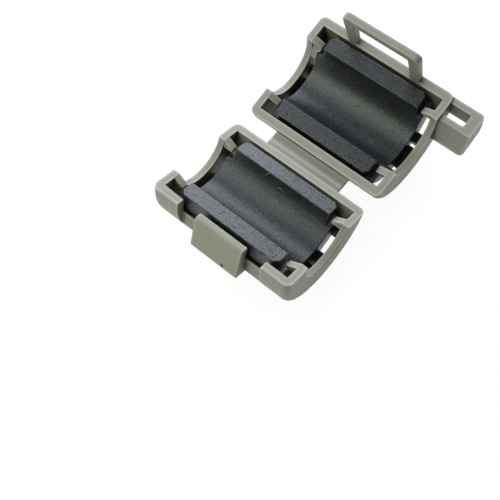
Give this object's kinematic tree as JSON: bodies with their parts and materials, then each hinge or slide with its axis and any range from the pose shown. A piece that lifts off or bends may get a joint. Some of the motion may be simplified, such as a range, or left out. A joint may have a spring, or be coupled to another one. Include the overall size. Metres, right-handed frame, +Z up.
{
  "type": "clip_on_ferrite_bead",
  "caption": "Open clip on ferrite bead for a round cable: grey half shells on a film hinge strap, a half core in each, a hook, a latch loop and a tie tab",
  "frame": {"origin": "on the cable axis of the hook half, midway along its length", "axes": "+X along the cable toward the end that carries the tie tab, +Y across from the hook half to the loop half, +Z up out of the open halves"},
  "size_m": [0.0354, 0.0493, 0.0233],
  "materials": {
    "housing": "warm grey moulded plastic with a fine matt texture",
    "ferrite": "blue grey sintered ferrite, speckled, with a faint sheen in the bore"
  },
  "bodies": {
    "hook_half": {"hook_shell": "housing", "hook_core": "ferrite"},
    "strap": {"hinge_strap": "housing"},
    "loop_half": {"loop_shell": "housing", "loop_core": "ferrite"},
    "latch": {"latch_loop": "housing"}
  },
  "joints": [
    {"name": "hook_film_hinge", "type": "hinge", "parent": "hook_half", "child": "strap", "pos_m": [0, 0.01148, -0.00437], "axis": [1, 0, 0], "range_deg": [-16.4, 73.6], "stiffness_Nm_per_rad": 0.012},
    {"name": "loop_film_hinge", "type": "hinge", "parent": "strap", "child": "loop_half", "pos_m": [0, 0.01358, -0.00437], "axis": [1, 0, 0], "range_deg": [-16.4, 73.6], "stiffness_Nm_per_rad": 0.012},
    {"name": "latch_flex", "type": "hinge", "parent": "loop_half", "child": "latch", "pos_m": [0, 0.03596, 0.0032], "axis": [-1, 0, 0], "range_deg": [0, 16.5], "stiffness_Nm_per_rad": 0.03}
  ]
}
